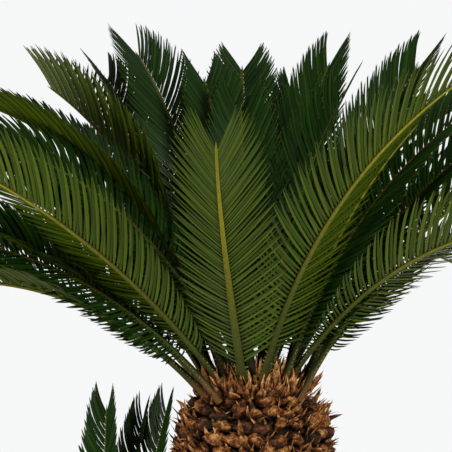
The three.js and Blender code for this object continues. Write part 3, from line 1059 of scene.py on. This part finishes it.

# The trunk: a core painted near-black as painted shade between the stubs, the rounded stub of an old leaf
# at each place of the lattice, and torn dry scales between them that stand out round the shoulder.
core = {
    "sunk": 0.007,
    "around": 72,
    "levels": 48,
    "dome": 0.026,
    "domeFrom": 0.84,
    "waves": [(0.012, 9, 1.7), (0.010, 23, -2.3)],  # height, number around, and turn for each level
    "along": 0.12,  # its place along the bark's colours, near the dark end: painted shade, as between the stubs
}
stub = {
    "stations": [0, 0.35, 0.62, 0.82, 0.95],
    "girths": [1.0, 1.0, 0.92, 0.72, 0.42],
    "tip": (1, 0, 0.05),
    "height": 0.64,  # of a stub's width
    "corners": 14,
    "rough": 0.15,
    "ringRough": 0.35,  # how much of that differs from ring to ring
    "push": 0.02,  # of a ring's points, along the stub
    "forms": 6,
    "depth": 0.034,  # from inside the core to the tip
    "depths": (0.72, 1.16),
    "sunk": 0.015,
    "halfWidth": 0.52,  # of the lattice's step
    "widths": (0.78, 1.12),
    "wander": 0.10,  # off the lattice, in steps
    "upturn": 0.25,
    "aimSpread": 0.12,
    "rollSpread": 0.2,
    "footGap": 1.4,  # from the ground, in half heights of a stub, so that none reaches below it
    "topGap": 0.4,  # from the trunk's top, in rows
}
chance = np.random.default_rng(11)


def stubMesh():
    turn = np.linspace(0, 2 * math.pi, stub["corners"], endpoint=False)
    rings = []
    lumps = chance.normal(0, stub["rough"], stub["corners"])
    for share, girth in zip(stub["stations"], stub["girths"]):
        out = girth * (1 + lumps + chance.normal(0, stub["rough"] * stub["ringRough"], stub["corners"]))
        push = chance.normal(0, stub["push"], stub["corners"]) * (share > 0)
        rings.append(np.stack([share + push, out * np.cos(turn), out * np.sin(turn) * stub["height"]], -1))
    return shellMesh("stubForm", np.array(rings), stub["tip"])


scale = {
    "stations": [0, 0.18, 0.4, 0.62, 0.82],
    "section": [(1, -0.35), (0.5, 0.25), (-0.5, 0.25), (-1, -0.35), (0, -0.2)],
    "crown": 0.3,  # how much higher a scale stands where it is wide
}


def scaleMesh(girths, curl, twist, sway):
    # a dry pointed scale, hollow below. curl and sway are how far its tip rises and swings aside, in half
    # widths, and twist is how far it turns about its length.
    rings = []
    for share, girth in zip(scale["stations"], girths):
        turned = math.radians(twist * share)
        section = [
            (across * girth, (high + scale["crown"] * girth) * girth) for across, high in scale["section"]
        ]
        rings.append([(
            share,
            across * math.cos(turned) - high * math.sin(turned) + sway * share * share,
            across * math.sin(turned) + high * math.cos(turned) + curl * share * share,
        ) for across, high in section])
    return shellMesh("scaleForm", np.array(rings), (1, sway, curl))


stubForms = formCollection("stubForm", [stubMesh() for _ in range(stub["forms"])])
# Each scale's girths at its stations, then its curl, twist and sway.
scaleForms = formCollection("scaleForm", [
    scaleMesh([0.7, 1.0, 0.9, 0.62, 0.34], 1.2, 25, 0.5),
    scaleMesh([0.8, 1.0, 0.75, 0.5, 0.25], 2.6, -35, -0.8),
    scaleMesh([0.9, 1.0, 1.0, 0.8, 0.45], 0.4, 15, -0.3),
    scaleMesh([0.6, 0.9, 1.0, 0.7, 0.4], 3.4, 50, 1.0),
    scaleMesh([1.0, 0.9, 0.7, 0.42, 0.2], -0.8, -20, 0.4),
    scaleMesh([0.7, 1.0, 0.8, 0.7, 0.5], 1.8, 70, -1.2),
])
huskForms = formCollection("huskForm", [
    scaleMesh([1.0, 1.0, 0.8, 0.55, 0.28], 0.5, 10, 0.1),
    scaleMesh([0.9, 1.0, 0.9, 0.6, 0.3], -0.6, -25, -0.5),
    scaleMesh([0.8, 1.0, 0.7, 0.4, 0.22], 0.9, 30, 0.6),
    scaleMesh([1.0, 0.9, 0.85, 0.7, 0.35], 0.2, -15, -0.2),
])


def barkRadius(shape, height):
    # the bark rounds off under the outer stalks
    rounding = core["dome"] * smooth(core["domeFrom"], 1, height / shape["height"])
    return trunkRadius(shape, height) - rounding * shape["radius"] / trunk["radius"]


def corePiece(name, shape, nodes):
    # a solid of rings of points, slightly wavy, closed at the ground and at the top
    levels = np.linspace(0, shape["height"], core["levels"])
    turn = np.linspace(0, 2 * math.pi, core["around"], endpoint=False)
    points = []
    for level, height in enumerate(levels):
        radius = barkRadius(shape, height) - core["sunk"]
        wave = 1
        for swell, number, twist in core["waves"]:
            wave = wave + swell * np.sin(turn * number + level * twist)
        centre = trunkCentre(shape, height)
        across = centre[0] + radius * wave * np.cos(turn)
        deep = centre[1] + radius * wave * np.sin(turn)
        points += [(x, y, height) for x, y in zip(across, deep)]
    around = core["around"]
    foot = list(range(around))[::-1]
    top = [len(points) - around + corner for corner in range(around)]
    faces = [foot, *ringFaces(around, core["levels"]), top]
    mesh = bpy.data.meshes.new(name)
    mesh.from_pydata(points, [], faces)
    mesh.shade_smooth()
    # the core takes a place near the dark end of the bark's colours: painted shade for the gaps between the
    # stubs
    for label, value in (("along", core["along"]), ("tone", 0)):
        values = np.full(len(points), value, float)
        mesh.attributes.new(label, "FLOAT", "POINT").data.foreach_set("value", values)
    mesh.materials.append(stubLook)
    piece = bpy.data.objects.new(name, mesh)
    bpy.context.scene.collection.objects.link(piece)
    return settle(piece, nodes)


def onSide(shape, turn, height, depth):
    # places on the trunk's side, with the ways out and round from there
    out = np.stack([np.cos(turn), np.sin(turn), np.zeros_like(turn)], -1)
    aside = np.stack([-np.sin(turn), np.cos(turn), np.zeros_like(turn)], -1)
    radius = np.array([barkRadius(shape, level) for level in height]) - depth
    centre = np.array([trunkCentre(shape, level) for level in height])
    return centre + out * radius[:, None], out, aside


upwards = np.array([0, 0, 1.0])


def stubPiece(name, shape):
    # a stub at each place of a lattice, every second row half a step on
    rows, columns = shape["rows"], shape["columns"]
    row, column = [part.ravel() for part in np.meshgrid(np.arange(rows), np.arange(columns), indexing="ij")]
    count = len(row)
    step = 2 * math.pi / columns
    turn = (column + 0.5 * (row % 2) + stub["wander"] * chance.normal(size=count)) * step
    pitch = shape["height"] / rows
    height = (row + 0.5 + stub["wander"] * chance.normal(size=count)) * pitch
    size = shape["radius"] * step
    lowest = stub["footGap"] * size * stub["halfWidth"] * stub["height"]
    height = np.clip(height, lowest, shape["height"] - pitch * stub["topGap"])
    scaled = size / (trunk["radius"] * 2 * math.pi / trunk["columns"])
    place, out, _ = onSide(shape, turn, height, stub["sunk"] * scaled)
    tree = scatterTree(name, [(None, None, stubLook)])
    piece = scattered(
        name, tree, stubForms, place,
        course=out + stub["upturn"] * upwards + stub["aimSpread"] * chance.normal(size=(count, 3)),
        face=np.tile(upwards, (count, 1)) + stub["rollSpread"] * chance.normal(size=(count, 3)),
        reach=stub["depth"] * scaled * chance.uniform(*stub["depths"], count),
        breadth=size * stub["halfWidth"] * chance.uniform(*stub["widths"], count),
        form=chance.integers(0, stub["forms"], count),
        tone=chance.uniform(-1, 1, count),
    )
    return settle(piece)


# Dry scales: what differs between the fringes that lie among the stubs and the collars round the shoulder.
looseScales = {
    "sunk": 0.10,  # of the longest scale's length
    "fringeHeights": (0.07, 0.98),
    "collarTop": 0.985,
    "collarDepth": 0.27,
    "out": {"fringe": 0.8, "collar": 1.0},
    "aside": {"fringe": 1.5, "collar": 0.45},
    "rise": {"fringe": (-0.2, 0.9), "collar": (0.25, 1.1)},
    "reach": {"fringe": (0.34, 0.86), "collar": (0.6, 1.05)},
    "widths": (0.09, 0.19),  # in lengths
    "rollSpread": 0.5,
}


def scalePiece(name, shape, fringes, collars, longest):
    loose = looseScales
    count = fringes + collars
    collar = np.arange(count) >= fringes

    def drawn(key):
        high = chance.uniform(*loose[key]["collar"], count)
        low = chance.uniform(*loose[key]["fringe"], count)
        return np.where(collar, high, low)

    def fixed(key):
        return np.where(collar, loose[key]["collar"], loose[key]["fringe"])[:, None]

    turn = chance.uniform(0, 2 * math.pi, count)
    low = chance.uniform(*loose["fringeHeights"], count)
    high = loose["collarTop"] - loose["collarDepth"] * chance.uniform(0, 1, count)
    height = np.where(collar, high, low) * shape["height"]
    place, out, aside = onSide(shape, turn, height, loose["sunk"] * longest)
    across = chance.uniform(-1, 1, count)[:, None]
    rise = drawn("rise")[:, None]
    reach = drawn("reach") * longest
    tree = scatterTree(name, [(None, None, huskLook)])
    piece = scattered(
        name, tree, scaleForms, place,
        course=out * fixed("out") + upwards * rise + aside * across * fixed("aside"),
        face=upwards + loose["rollSpread"] * chance.normal(size=(count, 3)),
        reach=reach,
        breadth=reach * chance.uniform(*loose["widths"], count),
        form=chance.integers(0, len(scaleForms.objects), count),
        tone=chance.uniform(-1, 1, count),
    )
    return settle(piece)


# Husks between the stalks.
husks = {
    "sunk": 0.05,  # of the longest husk's length
    "within": 0.90,  # share of the disc that they stand on
    "lean": 0.1,  # outwards in the middle of the disc
    "edgeLean": 0.45,  # and how much more at its edge
    "aimSpread": 0.22,
    "lengths": (0.35, 1.0),  # in lengths of the longest
    "middleLength": 1.5,  # how much longer they are in the middle
    "edgeCut": 0.75,
    "clear": 0.05,  # of the stalks, in lengths
    "width": 0.11,  # of half a husk, in lengths of the longest
    "widths": (0.5, 1.5),
    "rollSpread": 0.5,
    "tones": (-0.6, 1),
}


def stalkRods(frond, reach=0.16, pieces=8):
    # the foot of a rib as short rods
    shares = np.linspace(0, reach, pieces + 1)
    places = courseAt(frond["course"], shares)
    return places[:-1], places[1:], ribWidth(frond, shares[1:]) / 2


def huskPiece(name, shape, fronds, count, longest):
    # upright husks between the stalks, over the whole disc, longest in the middle
    turn = chance.uniform(0, 2 * math.pi, count)
    edge = shape["radius"] - shape["shoulder"]
    away = edge * np.sqrt(chance.uniform(0.0, husks["within"], count))
    out = np.stack([np.cos(turn), np.sin(turn), np.zeros(count)], -1)
    top = trunkCentre(shape, shape["height"])
    place = top + out * away[:, None] - upwards * husks["sunk"] * longest
    lean = husks["lean"] + husks["edgeLean"] * (away / edge) ** 2
    course = upwards + out * lean[:, None] + husks["aimSpread"] * chance.normal(size=(count, 3))
    course /= np.linalg.norm(course, axis=1)[:, None]
    reach = longest * chance.uniform(*husks["lengths"], count)
    reach = reach * (husks["middleLength"] - husks["edgeCut"] * away / edge)
    rods = tuple(np.concatenate(parts) for parts in zip(*(stalkRods(frond) for frond in fronds)))
    free = nearest(place, place + course * reach[:, None], rods) > reach * husks["clear"]
    kept = int(free.sum())
    tree = scatterTree(name, [(None, None, huskLook)])
    piece = scattered(
        name, tree, huskForms, place[free],
        course=course[free],
        face=-out[free] + husks["rollSpread"] * chance.normal(size=(kept, 3)),
        reach=reach[free],
        breadth=(longest * husks["width"] * chance.uniform(*husks["widths"], count))[free],
        form=chance.integers(0, len(huskForms.objects), kept),
        tone=chance.uniform(*husks["tones"], kept),
    )
    return settle(piece)


corePiece("trunk_core", trunk, ["trunk"])
stubPiece("trunk_leaf_bases", trunk)
scalePiece("trunk_scales", trunk, fringes=1250, collars=300, longest=0.046)
huskPiece("crown_husks", trunk, crown, count=900, longest=0.062)
corePiece("offset_core", offsetTrunk, ["offset_trunk"])
stubPiece("offset_leaf_bases", offsetTrunk)
scalePiece("offset_scales", offsetTrunk, fringes=260, collars=120, longest=0.020)
huskPiece("offset_husks", offsetTrunk, rosette, count=160, longest=0.026)
print("bark built")

floorRadius = 1.6
floorDepth = 0.0005  # below the plant's flat cut
bpy.ops.mesh.primitive_circle_add(vertices=96, radius=floorRadius, fill_type="NGON", location=(0, 0, 0))
floor = bpy.context.object
floor.name = "floor"
floor.location.z = -floorDepth
floorLook = newMaterial("floor", Base_Color=(0.82, 0.82, 0.81, 1), Roughness=0.9)[0]
floor.data.materials.append(floorLook)

# A pale room: bright behind the plant, softer as light.
roomLight = {
    "backdrop": (0.925, 0.935, 0.94),
    "backdropStrength": 1.0,
    "glow": (1.0, 0.99, 0.93),
    "glowStrength": 0.09,
}
world = bpy.data.worlds.new("room")
bpy.context.scene.world = world
world.use_nodes = True
world.node_tree.nodes.clear()
room = Sheet(world.node_tree)
seen = room.add("ShaderNodeLightPath", {}, {}, "Is Camera Ray")
glow = room.add("ShaderNodeBackground", {}, {
    "Color": (*roomLight["glow"], 1),
    "Strength": roomLight["glowStrength"],
})
back = room.add("ShaderNodeBackground", {}, {
    "Color": (*roomLight["backdrop"], 1),
    "Strength": roomLight["backdropStrength"],
})
both = room.add("ShaderNodeMixShader", {}, {0: seen, 1: glow, 2: back})
room.add("ShaderNodeOutputWorld", {}, {"Surface": both})


def areaLight(name, place, target, size, power, colour):
    lamp = bpy.data.lights.new(name, "AREA")
    lamp.shape = "DISK"
    lamp.size = size
    lamp.energy = power
    lamp.color = colour
    holder = bpy.data.objects.new(name, lamp)
    holder.location = place
    away = np.array(target) - np.array(place)
    flat = math.hypot(away[0], away[1])
    holder.rotation_euler = (math.atan2(flat, -away[2]), 0, math.atan2(away[1], away[0]) - math.pi / 2)
    bpy.context.scene.collection.objects.link(holder)


areaLight("key", (1.5, -2.0, 1.6), (0, 0, 0.7), size=0.8, power=58, colour=(1.0, 0.98, 0.88))
areaLight("fill", (-2.2, -1.8, 0.8), (0, 0, 0.7), size=1.2, power=52, colour=(1.0, 0.99, 0.90))
areaLight("sky", (0.2, 0.9, 3.4), (0, 0, 0.8), size=2.2, power=10, colour=(0.98, 1.0, 0.92))
areaLight("rear", (1.0, 2.7, 1.0), (0, 0, 0.6), size=1.4, power=30, colour=(0.98, 1.0, 0.93))
bpy.context.scene.view_settings.view_transform = "Standard"
print("room lit")
